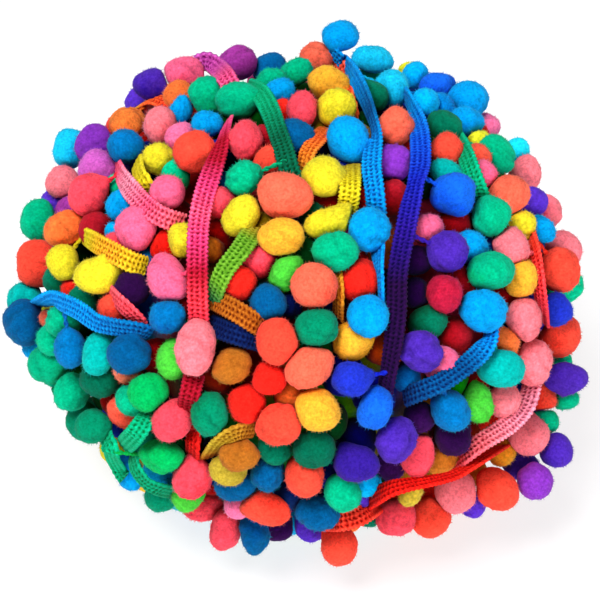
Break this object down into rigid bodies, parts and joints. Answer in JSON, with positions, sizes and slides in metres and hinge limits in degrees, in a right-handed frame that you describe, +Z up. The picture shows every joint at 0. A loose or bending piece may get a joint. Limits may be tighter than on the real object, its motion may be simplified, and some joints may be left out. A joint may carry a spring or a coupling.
{
  "type": "ball of pompom trim",
  "caption": "Ball of space-dyed pompom trim: rainbow yarn pompoms on a narrow knitted tape, wound by hand into a slightly flattened ball.",
  "frame": {"origin": "middle of the ball's small flat spot, on the surface it rests on", "axes": "+Z up, out of the resting surface; -Y towards the side whose loose lengths lie uppermost; +X to that side's right"},
  "size_m": [0.1435, 0.1351, 0.1102],
  "materials": {
    "rainbow": "cut acrylic yarn and knitted braid, space-dyed through the rainbow, velvety matt",
    "coral": "cut acrylic yarn and knitted braid, coral, velvety matt",
    "pink": "cut acrylic yarn and knitted braid, pink, velvety matt",
    "yellow": "cut acrylic yarn and knitted braid, yellow, velvety matt",
    "green": "cut acrylic yarn and knitted braid, green, velvety matt",
    "turquoise": "cut acrylic yarn and knitted braid, turquoise, velvety matt",
    "azure": "cut acrylic yarn and knitted braid, azure, velvety matt",
    "ultramarine": "cut acrylic yarn and knitted braid, ultramarine, velvety matt",
    "violet": "cut acrylic yarn and knitted braid, violet, velvety matt"
  },
  "bodies": {
    "root": {"wound_ball": "rainbow", "length_crown_azure": "azure", "length_mid_azure": "azure", "length_front_ultramarine": "ultramarine", "length_upper_green": "green", "length_front_pink": "pink", "length_mid_lime": "green", "length_mid_yellow": "yellow", "length_left_pink": "pink", "length_left_yellow": "yellow", "length_left_azure": "azure", "length_lower_azure": "azure", "length_lower_pink": "pink", "length_right_green": "green", "length_right_coral": "coral", "length_low_green": "green", "length_low_coral": "coral", "length_back_azure": "azure", "length_back_pink": "pink", "length_back_green": "green", "length_back_yellow": "yellow", "length_back_ultramarine": "ultramarine", "length_rear_violet": "violet", "length_left_turquoise": "turquoise", "length_rear_coral": "coral"}
  },
  "joints": []
}
